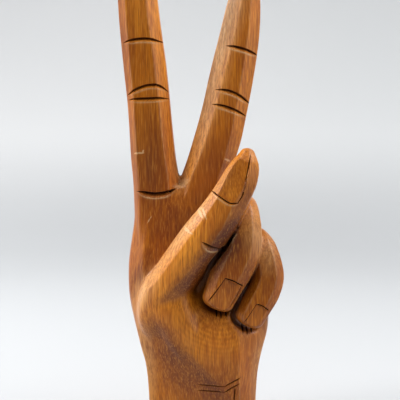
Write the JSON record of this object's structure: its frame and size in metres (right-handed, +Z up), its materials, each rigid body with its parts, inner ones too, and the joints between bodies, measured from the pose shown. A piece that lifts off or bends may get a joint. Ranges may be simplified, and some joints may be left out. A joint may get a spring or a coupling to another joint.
{
  "type": "carved display hand",
  "caption": "Carved wooden hand holding up a V sign, thumb folded over the tucked fingers; stands on its sawn wrist to show rings, bracelets and chains.",
  "frame": {"origin": "middle of the sawn underside of the wrist", "axes": "+Z up through the raised fingers, palm towards -Y, thumb side towards -X"},
  "size_m": [0.0892, 0.0568, 0.2557],
  "materials": {
    "wood": "oiled satin, knife facets left on"
  },
  "bodies": {
    "root": {"wrist": "wood", "palm": "wood", "index_finger": "wood", "middle_finger": "wood", "ring_finger": "wood", "little_finger": "wood", "thumb": "wood"}
  },
  "joints": []
}
